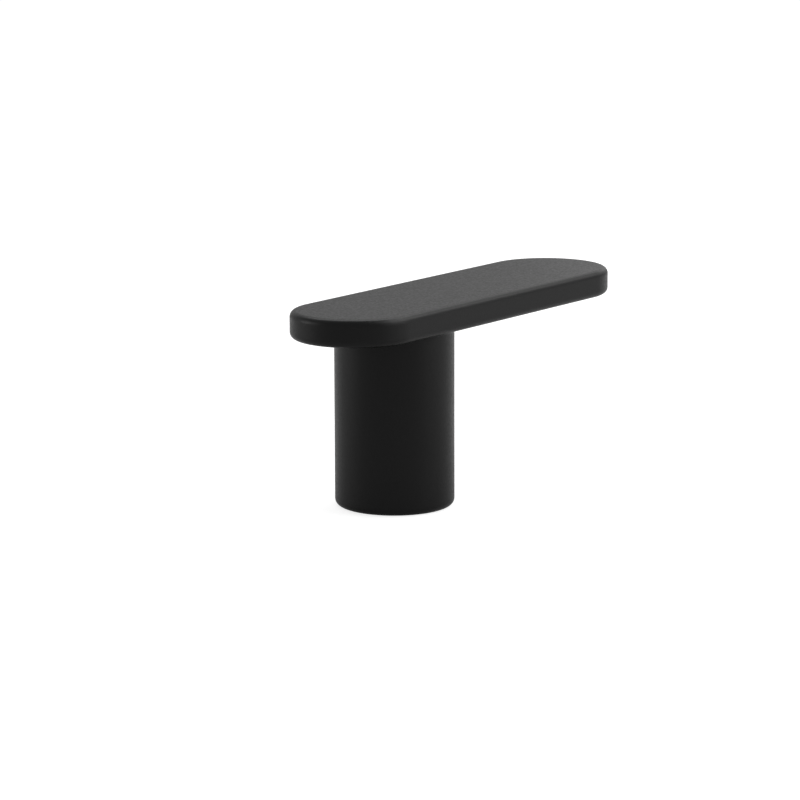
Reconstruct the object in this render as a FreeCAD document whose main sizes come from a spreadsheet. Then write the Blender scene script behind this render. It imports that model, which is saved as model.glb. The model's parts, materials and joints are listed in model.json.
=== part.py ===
import FreeCAD, Part
import math
import os
import Sketcher

# Cabinet knob: a long finger plate with round ends, carried off centre on a round stem.
# The knob is one casting. The stem's base sits on the door at Z = 0 and +Z points away from the door.
# The stem's axis is X = 0, Y = 0. The plate runs along X, with its long overhang on the +X side.
# Lengths are in millimetres and angles in degrees.

# name, value, what it is
SIZES = [
    ("stem_diameter", 18.0, "round stem, outside"),
    ("stem_height", 26.75, "door face to the underside of the plate"),
    ("base_edge_radius", 1.0, "rounding of the stem's lower rim"),
    ("root_radius", 0.3, "fillet where the stem runs into the plate"),
    ("plate_length", 70.0, "finger plate, end to end"),
    ("plate_thickness", 4.2, "finger plate, underside to top"),
    ("plate_side_lap", 0.8, "how far each long side of the plate stands out past the stem"),
    ("short_overhang", 10.2, "how far the near end of the plate stands out past the stem"),
    ("plate_edge_radius", 1.0, "rounding of the plate's upper and lower rims"),
    ("tap_drill_diameter", 3.3, "drilled hole for an M4 x 0.7 thread"),
    ("tap_drill_depth", 14.0, "door face to the end of the hole's full diameter"),
    ("drill_point_angle", 118.0, "cone at the blind end of the hole"),
    ("mouth_lead_in", 0.55, "width of the countersunk ring round the hole's mouth"),
    ("mouth_angle", 90.0, "countersunk mouth, full angle"),
]

SAME_PLACE = 1e-4


def make_sheet(doc):
    """Puts the driving dimensions in a spreadsheet, with one alias for each."""
    sheet = doc.addObject("Spreadsheet::Sheet", "sizes")
    for row, (name, value, note) in enumerate(SIZES, start=1):
        sheet.set(f"A{row}", name)
        sheet.set(f"B{row}", str(value))
        sheet.setAlias(f"B{row}", name)
        sheet.set(f"C{row}", note)
    doc.recompute()
    return sheet


def new_sketch(body, name, lift=None):
    """A sketch on the door face, or parallel to it and lifted by a formula."""
    sketch = body.newObject("Sketcher::SketchObject", name)
    door_face = next(f for f in body.Origin.OriginFeatures if f.Role == "XY_Plane")
    sketch.AttachmentSupport = [(door_face, "")]
    sketch.MapMode = "FlatFace"
    if lift:
        sketch.setExpression("AttachmentOffset.Base.z", lift)
    return sketch


def drive(sketch, name, constraint, formula):
    """Adds a named dimension to a sketch and binds it to the driving dimensions."""
    sketch.renameConstraint(sketch.addConstraint(constraint), name)
    sketch.setExpression(f"Constraints.{name}", formula)


def round_sketch(body, name, diameter):
    """One circle on the stem's axis, at the door face."""
    sketch = new_sketch(body, name)
    circle, centre = 0, 3
    first_guess = 5.0
    sketch.addGeometry(Part.Circle(FreeCAD.Vector(), FreeCAD.Vector(0, 0, 1), first_guess))
    sketch.addConstraint(Sketcher.Constraint("Coincident", circle, centre, -1, 1))
    drive(sketch, "radius", Sketcher.Constraint("Radius", circle, first_guess), f"{diameter} / 2")
    return sketch


def oblong_sketch(body):
    """The plate's outline: two half circles along X, joined by two straight sides."""
    sketch = new_sketch(body, "plate_outline", lift="sizes.stem_height")
    start, end, centre = 1, 2, 3
    near_end, far_end, left_side, right_side = range(4)
    # first guesses, which the constraints then move
    radius, near, far = 10.0, FreeCAD.Vector(-10, 0, 0), FreeCAD.Vector(40, 0, 0)
    axis, side = FreeCAD.Vector(0, 0, 1), FreeCAD.Vector(0, radius, 0)
    quarter = math.pi / 2
    sketch.addGeometry(Part.ArcOfCircle(Part.Circle(near, axis, radius), quarter, 3 * quarter))
    sketch.addGeometry(Part.ArcOfCircle(Part.Circle(far, axis, radius), -quarter, quarter))
    sketch.addGeometry(Part.LineSegment(far + side, near + side))
    sketch.addGeometry(Part.LineSegment(near - side, far - side))
    joins = [
        (far_end, end, left_side, start),
        (left_side, end, near_end, start),
        (near_end, end, right_side, start),
        (right_side, end, far_end, start),
    ]
    for join in joins:
        sketch.addConstraint(Sketcher.Constraint("Tangent", *join))
    sketch.addConstraint(Sketcher.Constraint("Equal", near_end, far_end))
    for arc in (near_end, far_end):
        sketch.addConstraint(Sketcher.Constraint("PointOnObject", arc, centre, -1))

    half_width = "(sizes.stem_diameter / 2 + sizes.plate_side_lap)"
    width = Sketcher.Constraint("Radius", near_end, radius)
    setback = Sketcher.Constraint("DistanceX", near_end, centre, -1, 1, -near.x)
    spacing = Sketcher.Constraint("DistanceX", near_end, centre, far_end, centre, far.x - near.x)
    drive(sketch, "half_width", width, half_width)
    drive(sketch, "setback", setback, "sizes.short_overhang - sizes.plate_side_lap")
    drive(sketch, "spacing", spacing, f"sizes.plate_length - 2 * {half_width}")
    return sketch


def pad(body, name, sketch, length):
    """Raises a sketch along +Z."""
    feature = body.newObject("PartDesign::Pad", name)
    feature.Profile = sketch
    feature.setExpression("Length", length)
    body.Document.recompute()
    return feature


def round_edges(body, name, base, wanted, radius):
    """Rounds each edge of base that the test picks."""
    edges = [f"Edge{n}" for n, edge in enumerate(base.Shape.Edges, start=1) if wanted(edge)]
    feature = body.newObject("PartDesign::Fillet", name)
    feature.Base = (base, edges)
    feature.setExpression("Radius", radius)
    body.Document.recompute()
    return feature


def is_level(edge):
    """True for an edge that lies in one plane parallel to the door."""
    return edge.BoundBox.ZLength < SAME_PLACE


def is_stem_foot(edge):
    """True for the stem's lower rim, before it is rounded."""
    return edge.BoundBox.ZMax < SAME_PLACE


def is_stem_root(edge, stem_radius, base_edge_radius):
    """True where the stem's wall meets the plate: off the base, on the stem's radius, all but level.

    The stem is nearly as wide as the plate, so this line climbs a little way up the plate's
    rounded lower rim on each side, and may come in several edges.
    """
    box = edge.BoundBox
    off_base = box.ZMin > base_edge_radius + SAME_PLACE
    nearly_level = box.ZLength < stem_radius / 2
    radii = [math.hypot(corner.X, corner.Y) for corner in edge.Vertexes]
    return off_base and nearly_level and all(abs(r - stem_radius) < SAME_PLACE for r in radii)


def screw_hole(body, sketch):
    """The blind hole for the fixing screw: lead-in at the mouth, tap drill, drill point."""
    hole = body.newObject("PartDesign::Hole", "screw_hole")
    hole.Profile = sketch
    hole.Reversed = True
    hole.ThreadType = "None"
    hole.DepthType = "Dimension"
    hole.DrillPoint = "Angled"
    hole.HoleCutType = "Countersink"
    hole.HoleCutCustomValues = True
    hole.setExpression("Diameter", "sizes.tap_drill_diameter")
    hole.setExpression("Depth", "sizes.tap_drill_depth")
    hole.setExpression("DrillPointAngle", "sizes.drill_point_angle")
    hole.setExpression("HoleCutDiameter", "sizes.tap_drill_diameter + 2 * sizes.mouth_lead_in")
    hole.setExpression("HoleCutCountersinkAngle", "sizes.mouth_angle")
    body.Document.recompute()
    return hole


def make_knob(doc, sheet):
    """The casting: the rounded plate, then the stem grown up into it, then the screw hole."""
    body = doc.addObject("PartDesign::Body", "knob_body")
    body.Label = "knob_body"

    plate = pad(body, "plate", oblong_sketch(body), "sizes.plate_thickness")
    round_edges(body, "plate_rims", plate, is_level, "sizes.plate_edge_radius")

    stem_top = "sizes.stem_height + sizes.plate_thickness / 2"
    stem = pad(body, "stem", round_sketch(body, "stem_outline", "sizes.stem_diameter"), stem_top)
    stem = round_edges(body, "stem_foot", stem, is_stem_foot, "sizes.base_edge_radius")

    def at_root(edge):
        return is_stem_root(edge, sheet.stem_diameter / 2, sheet.base_edge_radius)

    round_edges(body, "stem_root", stem, at_root, "sizes.root_radius")
    body.Tip = screw_hole(body, round_sketch(body, "screw_axis", "sizes.tap_drill_diameter"))
    doc.recompute()
    return body


def check(doc, bodies):
    """Stops the build if a feature failed or a piece isn't one sound solid."""
    for item in doc.Objects:
        if {"Invalid", "Error"} & set(item.State):
            raise RuntimeError(f"{item.Name} failed: {item.State}")
    for body in bodies:
        shape = body.Shape
        if shape.isNull() or not shape.isValid() or len(shape.Solids) != 1:
            raise RuntimeError(f"{body.Label} isn't one valid solid")


def write(body):
    """Writes a piece to a file named by its label, and prints what it measures."""
    body.Shape.exportStep(os.path.join("parts", f"{body.Label}.step"))
    solid = body.Shape.Solids[0]
    box = solid.optimalBoundingBox()
    print(f"{body.Label}: {box.XLength:.2f} x {box.YLength:.2f} x {box.ZLength:.2f} mm")
    print(f"volume {solid.Volume:.0f} mm3, centre of mass at x {solid.CenterOfMass.x:.2f} mm")


def main():
    os.makedirs("parts", exist_ok=True)
    doc = FreeCAD.newDocument("cabinet_knob")
    knob = make_knob(doc, make_sheet(doc))
    check(doc, [knob])
    write(knob)


main()
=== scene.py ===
import json
import math

import bmesh
import bpy
import numpy as np
from bpy.props import FloatProperty, FloatVectorProperty, PointerProperty
from mathutils import Matrix, Vector


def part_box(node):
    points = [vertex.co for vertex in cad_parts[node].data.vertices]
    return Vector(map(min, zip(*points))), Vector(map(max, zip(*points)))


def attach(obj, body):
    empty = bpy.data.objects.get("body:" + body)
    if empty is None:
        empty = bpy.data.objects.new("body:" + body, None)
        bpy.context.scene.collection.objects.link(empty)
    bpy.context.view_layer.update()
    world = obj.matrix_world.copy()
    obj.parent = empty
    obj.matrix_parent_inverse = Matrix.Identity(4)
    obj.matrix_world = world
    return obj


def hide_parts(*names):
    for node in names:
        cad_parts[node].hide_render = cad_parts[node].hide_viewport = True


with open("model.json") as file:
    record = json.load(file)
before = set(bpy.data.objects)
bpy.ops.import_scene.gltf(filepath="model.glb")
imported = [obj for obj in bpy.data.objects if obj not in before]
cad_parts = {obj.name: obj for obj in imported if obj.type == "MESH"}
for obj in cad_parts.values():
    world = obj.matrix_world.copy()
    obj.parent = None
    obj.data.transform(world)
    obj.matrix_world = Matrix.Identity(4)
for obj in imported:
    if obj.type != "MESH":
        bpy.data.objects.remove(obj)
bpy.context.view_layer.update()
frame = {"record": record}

bl_info = {
    "name": "Cabinet knob",
    "version": (1, 0, 0),
    "blender": (4, 5, 0),
    "location": "View3D > Sidebar > Knob",
    "description": "A black cabinet knob, cast in one, on a pale studio floor",
    "category": "Object",
}

# The knob is a long finger plate with round ends, carried off centre on a round stem. The door is at
# Z = 0, the stem's axis is X = 0, Y = 0, and the plate's long overhang is on the +X side. Lengths are
# in metres, and angles in radians unless a comment says degrees.
MM = 0.001
QUARTER_TURN = math.pi / 2
SOLID = "knob_body"
# points nearer to each other than this are one point
SAME_PLACE = 1e-7

# what the frame says of the knob: its outermost planes, and the hole in its base, whose lead-in is a
# 90 degree countersink and so as wide as it is deep
LOW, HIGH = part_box(SOLID)
TOP = HIGH.z
HALF_WIDTH = HIGH.y
NEAR_CENTRE = LOW.x + HALF_WIDTH
FAR_CENTRE = HIGH.x - HALF_WIDTH
HOLE = next(m for m in frame["record"]["mounts"] if m["name"] == "screw_hole")
HOLE_RADIUS = HOLE["dims"]["r_mm"] * MM
HOLE_LEAD_IN = HOLE["pos_m"][2]
HOLE_DEPTH = HOLE_LEAD_IN + HOLE["dims"]["length_mm"] * MM
MOUTH_RADIUS = HOLE_RADIUS + HOLE_LEAD_IN

# a metric thread's form: half the angle between its flanks, in degrees, and half the flat at the
# bottom of its groove, in pitches
HALF_THREAD_ANGLE = 30
HALF_GROOVE_FLAT = 1 / 16
# turns over which the thread grows to its full depth, and over which it dies away at its end
GROWING_TURNS = 1.0
FADING_TURNS = 1.5

# the skin's grid: columns along each side of the long and the short overhang, round each end, and
# along each stretch where the stem's root climbs the plate's rim, then rows on each rounded rim
LONG_SIDE_STEPS = 12
SHORT_SIDE_STEPS = 4
ROUND_END_STEPS = 48
ROOT_STEPS = 16
RIM_STEPS = 10
# degrees between two faces past which the edge they share looks crisp
SHARP_ANGLE = 35

# the values that most of a noise lies between, and how much longer a tool mark is than it is wide
NOISE_RANGE = (0.3, 0.7)
MARK_STRETCH = 20

# the stage: the background's brightness, a little past 1 so that no grey specks are left in it, how
# much of it reflections see, and how much of it the floor has
BACKGROUND = 1.05
REFLECTED_SHARE = 0.25
FLOOR_LIFT = 0.78
FLOOR_SIZE = 0.8
LAMP_DISTANCE = 0.6
# name, azimuth and elevation in degrees, width and height, brightness where white is 1
LAMPS = [
    ("key_lamp", -50, 45, (0.50, 0.36), 2.6),
    ("side_lamp", -65, 15, (0.50, 0.36), 1.1),
    ("front_lamp", -5, 30, (0.50, 0.36), 0.5),
    ("left_lamp", 125, 10, (0.32, 0.32), 2.0),
    ("top_lamp", 36, 60, (0.60, 0.30), 2.45),
    ("back_lamp", 20, 20, (0.22, 0.30), 0.25),
]


def length(name, description, millimetres):
    """A property in metres, set from millimetres and shown in the scene's own units."""
    default = millimetres * MM
    return FloatProperty(
        name=name, description=description, default=default, min=0.0, unit="LENGTH", precision=5
    )


def angle(name, description, degrees):
    """A property in radians, set from degrees and shown in the scene's own units."""
    default = math.radians(degrees)
    return FloatProperty(name=name, description=description, default=default, unit="ROTATION")


def fraction(name, description, value):
    """A property that goes from 0 to 1."""
    return FloatProperty(name=name, description=description, default=value, min=0.0, max=1.0)


def colour(name, description, hexadecimal):
    """A property kept as linear values, set from an sRGB hex value."""
    default = linear(hexadecimal)
    return FloatVectorProperty(
        name=name, description=description, default=default, subtype="COLOR", min=0.0, max=1.0
    )


def linear(hexadecimal):
    """Turns an sRGB hex value such as "1A1A1B" to linear red, green and blue."""
    channels = [int(hexadecimal[i : i + 2], 16) / 255 for i in (0, 2, 4)]
    return tuple(c / 12.92 if c <= 0.04045 else ((c + 0.055) / 1.055) ** 2.4 for c in channels)


class KnobShape(bpy.types.PropertyGroup):
    """The knob's sizes that its outermost planes don't give."""

    side_lap: length("Side lap", "How far the plate's long sides stand out past the stem", 0.8)
    plate_thickness: length("Plate thickness", "Underside of the finger plate to its top", 4.2)
    plate_edge: length("Plate edge radius", "Rounding of the plate's upper and lower rims", 1.0)
    root: length("Root radius", "Fillet where the stem runs into the plate", 0.3)
    base_edge: length("Base edge radius", "Rounding of the stem's lower rim", 1.0)
    thread_diameter: length("Thread diameter", "Outer diameter of the M4 thread in the base", 4.0)
    thread_pitch: length("Thread pitch", "From one turn of the thread to the next", 0.7)
    thread_depth: length("Thread depth", "How deep the tap has cut", 12.0)
    drill_point: angle("Drill point", "Full angle of the hole's blind end", 118.0)


class CoatLook(bpy.types.PropertyGroup):
    """The black powder coat."""

    black: colour("Colour", "The coat's own colour, without its sheen", "0C0C0C")
    ior: FloatProperty(name="IOR", description="How strongly the coat mirrors", default=1.3, min=1.0)
    roughness: fraction("Roughness", "How dull the coat is", 0.35)
    mottle: fraction("Mottle", "How far single specks are duller or less dull than that", 0.07)
    grain: length("Grain", "Size of the specks", 0.35)
    relief: length("Relief", "Height of the specks", 0.01)


class BoreLook(bpy.types.PropertyGroup):
    """The bare zinc alloy inside the threaded hole."""

    zinc: colour("Colour", "The cut metal's own colour", "B4B5B9")
    roughness: fraction("Roughness", "How dull the cut metal is", 0.35)
    mottle: fraction("Mottle", "How far single tool marks are duller or less dull than that", 0.1)
    marks: length("Tool marks", "Width of the fine rings that the drill and the tap leave", 0.1)
    relief: length("Relief", "Depth of those rings", 0.004)


class StageLook(bpy.types.PropertyGroup):
    """The camera that took the photo, the floor and the light."""

    azimuth: angle("Azimuth", "Camera's bearing, where 0 looks along +Y", -53.9)
    elevation: angle("Elevation", "How far the camera looks down", 11.2)
    roll: angle("Roll", "Camera's turn about its own line of sight", -0.18)
    aim: FloatVectorProperty(
        name="Aim",
        description="The point in the middle of the picture",
        default=(0.00141, 0.0, 0.01566),
        subtype="XYZ",
        unit="LENGTH",
    )
    distance: length("Distance", "From the aim point to the camera", 477.1)
    lens: FloatProperty(name="Lens", description="Focal length", default=142.96, unit="CAMERA")
    floor: colour("Floor", "Pale studio floor", "BCBCBC")
    fill: fraction("Fill", "Even light from all round, where white is 1", 0.3)
    lamps: FloatProperty(
        name="Lamps", description="Strength of all the soft lamps", default=1.0, min=0.0
    )


def even(steps):
    """Evenly spaced shares from 0 to 1, one to a row."""
    return np.linspace(0.0, 1.0, steps + 1)[:, None]


def flat(steps, margin=0.02):
    """Shares from 0 to 1, one to a row, with a row close to each end.

    A flat surface that has them shades flat up to its rims.
    """
    inner = np.linspace(margin, 1.0 - margin, steps - 1)
    return np.concatenate([[0.0], inner, [1.0]])[:, None]


def spaced(start, stop, count):
    """Evenly spaced values from start up to one step short of stop."""
    return np.linspace(start, stop, count, endpoint=False)


def along(start, end, share):
    """The places at these shares of the straight way from start to end."""
    return start * (1 - share) + end * share


def rings(plan, height):
    """Joins points in plan with heights, each spread over all the rows and columns of the other."""
    grid = np.broadcast_shapes(plan.shape[:-1], np.shape(height))
    plan = np.broadcast_to(plan, (*grid, 2))
    height = np.broadcast_to(height, grid)
    return np.concatenate([plan, height[..., None]], -1)


def turned(knob, radius, height):
    """A surface turned about the stem's axis: at each column's angle, the radius at that height."""
    return rings(np.asarray(radius)[..., None] * knob.radial, height)


def half_turn(heading, centre, side_steps, ball_path, reach):
    """Half of the columns: over one overhang, and on past the stem to where the other one starts.

    Returns their angles round the stem, their x on the plate's middle line, and the headings in which
    they leave that line. Over the overhang, the places on the outline are evenly spaced along each
    side and round the end, and the angles from one reach before the overhang's own heading to one
    reach after it. Past the stem, a column's x is that of the ball which rolls round the stem's root.
    """
    over_end = spaced(heading - reach, heading + reach, 2 * side_steps + ROUND_END_STEPS)
    past_stem = spaced(heading + reach, heading + math.pi - reach, ROOT_STEPS)
    side_start = math.cos(heading) * math.cos(reach) * ball_path
    middle = np.concatenate([
        spaced(side_start, centre, side_steps),
        np.full(ROUND_END_STEPS, centre),
        spaced(centre, side_start, side_steps),
        ball_path * np.cos(past_stem),
    ])
    turn = np.concatenate([
        np.full(side_steps, -QUARTER_TURN),
        spaced(-QUARTER_TURN, QUARTER_TURN, ROUND_END_STEPS),
        np.full(side_steps + ROOT_STEPS, QUARTER_TURN),
    ])
    return np.stack([np.concatenate([over_end, past_stem]), middle, heading + turn])


class Columns:
    """The lines that run from the plate's top to the hole's tip, one for each step round the knob.

    A column has an angle round the stem, whose unit vector is radial, a point on the plate's middle
    line, and a normal along which it leaves that line. Its point on the plate's outline lies half a
    width out. Inset, one rim radius short of that, is the line that both rounded rims are swept about.

    The stem's root is the track of a ball that rolls round the stem under the plate, with its centre
    one fillet radius out from the stem. Where its centre stands out past inset, the ball touches the
    lower rim and not the flat underside. It does so at rim_end, the angle round the rim whose cosine is
    how far the centre stands out, over the sum of the two radii.
    """

    def __init__(self, shape):
        self.edge = shape.plate_edge
        self.fillet = shape.root
        self.base_edge = shape.base_edge
        self.stem = HALF_WIDTH - shape.side_lap
        self.under = TOP - shape.plate_thickness
        inset_width = HALF_WIDTH - self.edge
        ball_path = self.stem + self.fillet
        reach = math.asin(min(1.0, inset_width / ball_path))

        long_half = half_turn(0.0, FAR_CENTRE, LONG_SIDE_STEPS, ball_path, reach)
        short_half = half_turn(math.pi, NEAR_CENTRE, SHORT_SIDE_STEPS, ball_path, reach)
        self.angle, middle, heading = np.concatenate([long_half, short_half], axis=1)
        self.radial = np.column_stack([np.cos(self.angle), np.sin(self.angle)])
        self.normal = np.column_stack([np.cos(heading), np.sin(heading)])
        self.middle = np.column_stack([middle, np.zeros(len(middle))])
        self.inset = self.middle + inset_width * self.normal
        self.outline = self.middle + HALF_WIDTH * self.normal

        both_radii = self.edge + self.fillet
        stands_out = ball_path * np.abs(self.radial[:, 1]) - inset_width
        self.rim_end = np.arccos(np.clip(stands_out / both_radii, 0.0, 1.0))
        across, up = np.cos(self.rim_end), np.sin(self.rim_end)
        ball_height = self.under + self.edge - both_radii * up
        self.ball = np.column_stack([ball_path * self.radial, ball_height])
        self.to_plate = np.column_stack([-across[:, None] * self.normal, up])


def top_face(knob):
    """The flat top: straight from the plate's middle line out to inset."""
    return rings(along(knob.middle, knob.inset, flat(steps=6)[..., None]), TOP)


def upper_rim(knob):
    """A quarter round about inset, from the flat top out to the upright side.

    A point lies out from inset by its angle's sine and up by its cosine, times the rim's radius.
    """
    turn = QUARTER_TURN * even(RIM_STEPS)
    plan = knob.inset + knob.edge * np.sin(turn)[..., None] * knob.normal
    return rings(plan, TOP - knob.edge + knob.edge * np.cos(turn))


def side_wall(knob):
    """The plate's upright side: straight down from rim to rim."""
    return rings(knob.outline, along(TOP - knob.edge, knob.under + knob.edge, flat(steps=4)))


def lower_rim(knob):
    """The same round below, from the side in to the underside, or to where the ball touches the rim.

    Here a point lies out from inset by its angle's cosine and down by its sine.
    """
    turn = knob.rim_end * even(RIM_STEPS)
    plan = knob.inset + knob.edge * np.cos(turn)[..., None] * knob.normal
    return rings(plan, knob.under + knob.edge - knob.edge * np.sin(turn))


def underside(knob):
    """The flat underside: straight from the lower rim in to where the ball touches the plate.

    Where the ball touches the rim itself, both are one point.
    """
    touch = knob.ball + knob.fillet * knob.to_plate
    return along(lower_rim(knob)[-1], touch, flat(steps=7)[..., None])


def root_fillet(knob):
    """The ball's track: its radius swings evenly from its touch on the plate to its touch on the stem.

    A direction between the two is their sum, in which each counts with the sine of the angle left to
    the other, over the sine of the whole angle.
    """
    to_stem = np.column_stack([-knob.radial, np.zeros(len(knob.radial))])
    whole = np.arccos(np.sum(knob.to_plate * to_stem, -1))[:, None]
    share = even(steps=6)[..., None]
    swing = np.sin((1 - share) * whole) * knob.to_plate + np.sin(share * whole) * to_stem
    return knob.ball + knob.fillet * swing / np.sin(whole)


def stem_wall(knob):
    """The round stem: straight down from where the ball touches it to the base's rounded rim."""
    return turned(knob, knob.stem, along(knob.ball[:, 2], knob.base_edge, flat(steps=8)))


def base_rim(knob):
    """A quarter round from the stem's wall in to the flat base: out by its cosine, down by its sine."""
    turn = QUARTER_TURN * even(RIM_STEPS)
    radius = knob.stem - knob.base_edge + knob.base_edge * np.cos(turn)
    return turned(knob, radius, knob.base_edge - knob.base_edge * np.sin(turn))


def base_face(knob):
    """The flat ring that sits on the door: straight in from the rim to the hole's mouth."""
    return turned(knob, along(knob.stem - knob.base_edge, MOUTH_RADIUS, flat(steps=5)), 0.0)


def lead_in(knob):
    """The countersunk cone at the hole's mouth: straight in and up to the drilled radius."""
    share = flat(steps=3)
    return turned(knob, along(MOUTH_RADIUS, HOLE_RADIUS, share), HOLE_LEAD_IN * share)


def thread_profile(full_cut, pitch):
    """One turn of the thread: where its rows lie, in pitches, and what share of the full cut each has.

    From the middle of the groove it runs along half the groove's flat, a flank, the crest's flat, the
    other flank and the other half of the groove. A flank is as wide as the cut's depth times the
    tangent of half the thread's angle.
    """
    flank = full_cut * math.tan(math.radians(HALF_THREAD_ANGLE)) / pitch
    rise = HALF_GROOVE_FLAT + flank * np.array([0.0, 0.5, 1.0])
    phases = np.concatenate([[0.0], rise, [0.5], 1 - rise[::-1]])
    cuts = np.array([1.0, 1.0, 0.5, 0.0, 0.0, 0.0, 0.5, 1.0])
    return phases, cuts


def threaded_bore(knob, shape):
    """The tapped length of the hole, and how many of its rows make one turn of the thread.

    A row runs along the thread, so it climbs one pitch in a turn: its height is its phase plus its
    angle's share of a pitch, held between the lead-in and the thread's end. Its radius is the drilled
    one plus its cut, which grows over the first turn and dies away over the last turn and a half.
    """
    pitch, deep = shape.thread_pitch, shape.thread_depth
    full_cut = shape.thread_diameter / 2 - HOLE_RADIUS
    phases, cuts = thread_profile(full_cut, pitch)
    turns = np.arange(-1, math.ceil(deep / pitch) + 1)
    rows = (turns[:, None] + phases).reshape(-1, 1)
    height = np.clip(pitch * (rows + knob.angle / (2 * math.pi)), HOLE_LEAD_IN, deep)
    growing = np.clip((height - HOLE_LEAD_IN) / (GROWING_TURNS * pitch), 0.0, 1.0)
    fading = np.clip((deep - height) / (FADING_TURNS * pitch), 0.0, 1.0)
    cut = full_cut * np.tile(cuts, len(turns))[:, None] * np.minimum(growing, fading)
    return turned(knob, HOLE_RADIUS + cut, height), len(phases)


def blind_end(knob, shape):
    """The plain drilled length past the thread, and the drill's cone, which closes at its tip.

    The cone is as high as the drilled radius over the tangent of half the drill's point.
    """
    tip = HOLE_DEPTH + HOLE_RADIUS / math.tan(shape.drill_point / 2)
    plain = turned(knob, HOLE_RADIUS, along(shape.thread_depth, HOLE_DEPTH, flat(steps=3)))
    share = even(steps=5)[1:]
    cone = turned(knob, along(HOLE_RADIUS, 0.0, share), along(HOLE_DEPTH, tip, share))
    return np.concatenate([plain, cone])


def grid_faces(rows, columns, climbing, rows_a_turn):
    """Quads between neighbouring rows and columns, with the last column joined to the first.

    A level row joins itself there. A climbing row, one of the thread's, joins the row that lies one
    turn further on. What this leaves over, the first turn in the first column and the last turn in the
    last, is held on one point at either end of the thread.
    """
    index = np.arange(rows * columns).reshape(rows, columns)
    partner = np.arange(rows)
    partner[climbing] = np.minimum(partner[climbing] + rows_a_turn, climbing.stop - 1)
    across = np.concatenate([index[:, 1:], index[partner, :1]], axis=1)
    return np.stack([index[:-1], index[1:], across[1:], across[:-1]], -1).reshape(-1, 4)


def casting_mesh(shape):
    """The whole skin, as one grid of rows from the plate's top to the hole's tip.

    Doubled points merge, on the plate's middle line, where two surfaces meet and at the hole's tip, and
    that closes the skin. The powder coat ends at the hole's mouth, and the rest is bare metal.
    """
    knob = Columns(shape)
    coated = np.concatenate([
        top_face(knob),
        upper_rim(knob),
        side_wall(knob),
        lower_rim(knob),
        underside(knob),
        root_fillet(knob),
        stem_wall(knob),
        base_rim(knob),
        base_face(knob),
    ])
    cone = lead_in(knob)
    thread, rows_a_turn = threaded_bore(knob, shape)
    points = np.concatenate([coated, cone, thread, blind_end(knob, shape)])
    rows, columns = points.shape[:2]
    thread_start = len(coated) + len(cone)
    climbing = slice(thread_start, thread_start + len(thread))
    faces = grid_faces(rows, columns, climbing, rows_a_turn)

    mesh = bpy.data.meshes.new("knob_casting")
    mesh.from_pydata(points.reshape(-1, 3).tolist(), [], faces.tolist())
    bare = np.arange(rows - 1) >= len(coated) - 1
    mesh.polygons.foreach_set("material_index", np.repeat(bare, columns).astype(np.int32))

    skin = bmesh.new()
    skin.from_mesh(mesh)
    bmesh.ops.remove_doubles(skin, verts=skin.verts, dist=SAME_PLACE)
    if not all(edge.is_manifold for edge in skin.edges):
        raise RuntimeError("The casting's skin isn't closed")
    skin.to_mesh(mesh)
    skin.free()
    mesh.shade_smooth()
    mesh.set_sharp_from_angle(angle=math.radians(SHARP_ANGLE))
    return mesh


def add_node(tree, kind, settings=None, links=None):
    """Adds a shader node.

    Settings and links go by an input's name or place. A setting may also be the node's own property.
    """
    node = tree.nodes.new(kind)
    for key, value in (settings or {}).items():
        if isinstance(key, int) or key in node.inputs:
            node.inputs[key].default_value = value
        else:
            setattr(node, key, value)
    for key, socket in (links or {}).items():
        tree.links.new(socket, node.inputs[key])
    return node


def new_material(name):
    """A material with an empty node tree, and that tree."""
    material = bpy.data.materials.new(name)
    material.use_nodes = True
    material.node_tree.nodes.clear()
    return material, material.node_tree


def uneven_shader(tree, pattern, look, settings):
    """A surface whose dullness and fine relief both follow one pattern, joined to the output.

    The pattern's low values are the least dull and the lowest, and its high values the dullest and the
    highest. The settings are the rest of what the surface is.
    """
    dullness = add_node(
        tree,
        "ShaderNodeMapRange",
        {
            "From Min": NOISE_RANGE[0],
            "From Max": NOISE_RANGE[1],
            "To Min": look.roughness - look.mottle,
            "To Max": look.roughness + look.mottle,
        },
        {"Value": pattern},
    )
    bumps = add_node(
        tree,
        "ShaderNodeBump",
        {"Strength": 1.0, "Distance": look.relief},
        {"Height": pattern},
    )
    shader = add_node(
        tree,
        "ShaderNodeBsdfPrincipled",
        settings,
        {"Roughness": dullness.outputs["Result"], "Normal": bumps.outputs["Normal"]},
    )
    add_node(tree, "ShaderNodeOutputMaterial", links={"Surface": shader.outputs["BSDF"]})


def black_powder_coat(look):
    """Matte black powder coat: near black face on, a soft grey where it mirrors light at a low angle.

    One fine noise, in real millimetres, makes some specks duller than others and pebbles the surface a
    little, so the grey top shows the faint mottling of sprayed powder and the dark sides stay smooth.
    """
    material, tree = new_material("black_powder_coat")
    place = add_node(tree, "ShaderNodeTexCoord")
    grain = add_node(
        tree,
        "ShaderNodeTexNoise",
        {"Scale": 1.0 / look.grain, "Detail": 2.0, "Roughness": 0.6},
        {"Vector": place.outputs["Object"]},
    )
    settings = {"Base Color": (*look.black, 1.0), "IOR": look.ior}
    uneven_shader(tree, grain.outputs["Fac"], look, settings)
    return material


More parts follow.
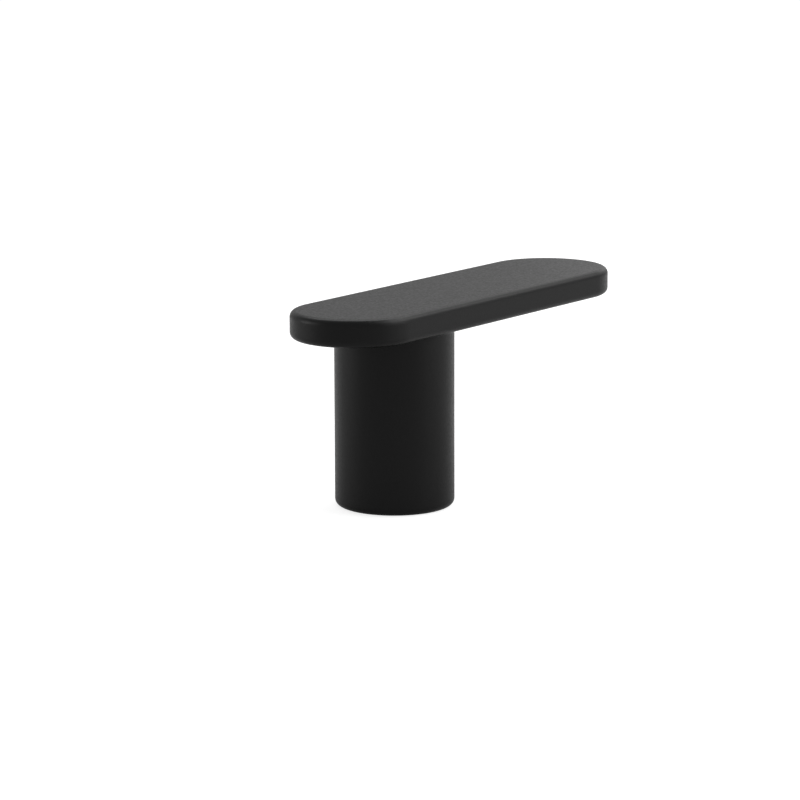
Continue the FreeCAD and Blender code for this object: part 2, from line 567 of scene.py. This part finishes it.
def tapped_zinc_alloy(look):
    """Zinc alloy as the drill and the tap leave it: a soft grey gleam, scored with fine rings.

    The rings are a noise in real millimetres, drawn out across the hole's axis, so that a mark is much
    longer round the hole than it is wide.
    """
    material, tree = new_material("tapped_zinc_alloy")
    place = add_node(tree, "ShaderNodeTexCoord")
    round_hole, up_hole = 1.0 / (MARK_STRETCH * look.marks), 1.0 / look.marks
    drawn_out = add_node(
        tree,
        "ShaderNodeMapping",
        {"Scale": (round_hole, round_hole, up_hole)},
        {"Vector": place.outputs["Object"]},
    )
    marks = add_node(
        tree,
        "ShaderNodeTexNoise",
        {"Scale": 1.0, "Detail": 2.0, "Roughness": 0.5},
        {"Vector": drawn_out.outputs["Vector"]},
    )
    settings = {"Base Color": (*look.zinc, 1.0), "Metallic": 1.0}
    uneven_shader(tree, marks.outputs["Fac"], look, settings)
    return material


class KNOB_OT_casting(bpy.types.Operator):
    """Build the knob's casting, with its coat and its threaded hole"""

    bl_idname = "knob.casting"
    bl_label = "Casting"

    def execute(self, context):
        scene = context.scene
        mesh = casting_mesh(scene.knob_shape)
        mesh.materials.append(black_powder_coat(scene.knob_coat))
        mesh.materials.append(tapped_zinc_alloy(scene.knob_bore))
        piece = bpy.data.objects.new("knob_casting", mesh)
        scene.collection.objects.link(piece)
        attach(piece, "root")
        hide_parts(SOLID)
        return {"FINISHED"}


def direction(azimuth, elevation):
    """The unit vector at an azimuth, from +X towards +Y, and an elevation over the floor."""
    across = math.cos(elevation)
    return Vector((math.cos(azimuth) * across, math.sin(azimuth) * across, math.sin(elevation)))


def add_camera(scene, look):
    """Looks from where the photo was taken, at a point in the stem's upper half.

    It stands back from that point along its own line of sight, and its roll turns it about that line.
    """
    back = direction(look.azimuth - QUARTER_TURN, look.elevation)
    level = direction(look.azimuth, 0.0)
    right = math.cos(look.roll) * level + math.sin(look.roll) * back.cross(level)
    axes = Matrix((right, back.cross(right), back)).transposed()
    data = bpy.data.cameras.new("camera")
    data.lens = look.lens
    camera = bpy.data.objects.new("camera", data)
    camera.matrix_world = Matrix.Translation(Vector(look.aim) + look.distance * back) @ axes.to_4x4()
    scene.collection.objects.link(camera)
    scene.camera = camera


def soft_lamp(scene, name, azimuth, elevation, size, brightness):
    """A rectangular soft lamp that stands at an azimuth and elevation and faces the stem's foot.

    Its brightness is that of its face, where white is 1: its power over pi times its area. Only its
    light is seen, never the lamp itself.
    """
    data = bpy.data.lights.new(name, "AREA")
    data.shape = "RECTANGLE"
    data.size, data.size_y = size
    data.energy = brightness * math.pi * size[0] * size[1]
    lamp = bpy.data.objects.new(name, data)
    out = direction(azimuth, elevation)
    turn = out.to_track_quat("Z", "Y").to_matrix().to_4x4()
    lamp.matrix_world = Matrix.Translation(LAMP_DISTANCE * out) @ turn
    lamp.visible_camera = False
    scene.collection.objects.link(lamp)


def white_behind(tree):
    """How far a ray sees the stage as plain white.

    It is 1 for a ray from the camera, the reflected share for one that comes off or through something
    glossy, and 0 for the rest.
    """
    ray = add_node(tree, "ShaderNodeLightPath")
    bounced = add_node(
        tree,
        "ShaderNodeMath",
        {"operation": "MAXIMUM"},
        {0: ray.outputs["Is Glossy Ray"], 1: ray.outputs["Is Transmission Ray"]},
    )
    white = add_node(
        tree,
        "ShaderNodeMath",
        {"operation": "MULTIPLY_ADD", 1: REFLECTED_SHARE},
        {0: bounced.outputs[0], 2: ray.outputs["Is Camera Ray"]},
    )
    return white.outputs[0]


def studio_world(look):
    """Even light from all round, with a white background for the camera and reflections."""
    world = bpy.data.worlds.new("studio")
    world.use_nodes = True
    tree = world.node_tree
    tree.nodes.clear()
    strength = add_node(
        tree,
        "ShaderNodeMapRange",
        {"To Min": look.fill, "To Max": BACKGROUND},
        {"Value": white_behind(tree)},
    )
    light = add_node(
        tree,
        "ShaderNodeBackground",
        {"Color": (1, 1, 1, 1)},
        {"Strength": strength.outputs["Result"]},
    )
    add_node(tree, "ShaderNodeOutputWorld", links={"Surface": light.outputs["Background"]})
    return world


def pale_floor(look):
    """Matt pale floor: it takes the knob's shadow, and the camera sees the rest of it as white."""
    material, tree = new_material("pale_floor")
    lit = add_node(tree, "ShaderNodeBsdfDiffuse", {"Color": (*look.floor, 1.0)})
    lift = add_node(
        tree,
        "ShaderNodeMath",
        {"operation": "MULTIPLY", 1: FLOOR_LIFT},
        {0: white_behind(tree)},
    )
    glow = add_node(
        tree,
        "ShaderNodeEmission",
        {"Color": (1, 1, 1, 1)},
        {"Strength": lift.outputs[0]},
    )
    both = add_node(tree, "ShaderNodeAddShader", links={0: lit.outputs[0], 1: glow.outputs[0]})
    add_node(tree, "ShaderNodeOutputMaterial", links={"Surface": both.outputs[0]})
    return material


def add_floor(scene, look):
    """A square sheet in the plane of the door, under the stem's base."""
    half = FLOOR_SIZE / 2
    mesh = bpy.data.meshes.new("floor")
    corners = [(-half, -half, 0), (half, -half, 0), (half, half, 0), (-half, half, 0)]
    mesh.from_pydata(corners, [], [(0, 1, 2, 3)])
    mesh.materials.append(pale_floor(look))
    floor = bpy.data.objects.new("floor", mesh)
    scene.collection.objects.link(floor)


class KNOB_OT_stage(bpy.types.Operator):
    """Build the floor, the lamps, the world's light and the camera"""

    bl_idname = "knob.stage"
    bl_label = "Stage"

    def execute(self, context):
        scene = context.scene
        look = scene.knob_stage
        add_floor(scene, look)
        for name, azimuth, elevation, size, brightness in LAMPS:
            place = math.radians(azimuth), math.radians(elevation)
            soft_lamp(scene, name, *place, size, brightness * look.lamps)
        scene.world = studio_world(look)
        add_camera(scene, look)
        scene.view_settings.view_transform = "Standard"
        return {"FINISHED"}


class KNOB_PT_panel(bpy.types.Panel):
    """Lists the knob's settings and the operators that build it"""

    bl_idname = "KNOB_PT_panel"
    bl_label = "Cabinet knob"
    bl_space_type = "VIEW_3D"
    bl_region_type = "UI"
    bl_category = "Knob"

    def draw(self, context):
        scene = context.scene
        for group in (scene.knob_shape, scene.knob_coat, scene.knob_bore, scene.knob_stage):
            box = self.layout.box()
            for name in group.bl_rna.properties.keys():
                if name not in {"rna_type", "name"}:
                    box.prop(group, name)
        self.layout.operator(KNOB_OT_casting.bl_idname)
        self.layout.operator(KNOB_OT_stage.bl_idname)


CLASSES = (KnobShape, CoatLook, BoreLook, StageLook, KNOB_OT_casting, KNOB_OT_stage, KNOB_PT_panel)


def register():
    """Registers the classes, and gives the scene its settings."""
    for cls in CLASSES:
        bpy.utils.register_class(cls)
    bpy.types.Scene.knob_shape = PointerProperty(type=KnobShape)
    bpy.types.Scene.knob_coat = PointerProperty(type=CoatLook)
    bpy.types.Scene.knob_bore = PointerProperty(type=BoreLook)
    bpy.types.Scene.knob_stage = PointerProperty(type=StageLook)


def unregister():
    """Takes the settings and the classes away again."""
    del bpy.types.Scene.knob_stage
    del bpy.types.Scene.knob_bore
    del bpy.types.Scene.knob_coat
    del bpy.types.Scene.knob_shape
    for cls in reversed(CLASSES):
        bpy.utils.unregister_class(cls)


def main():
    """Builds the knob and its stage."""
    register()
    bpy.ops.knob.casting()
    bpy.ops.knob.stage()


if __name__ == "__main__":
    main()
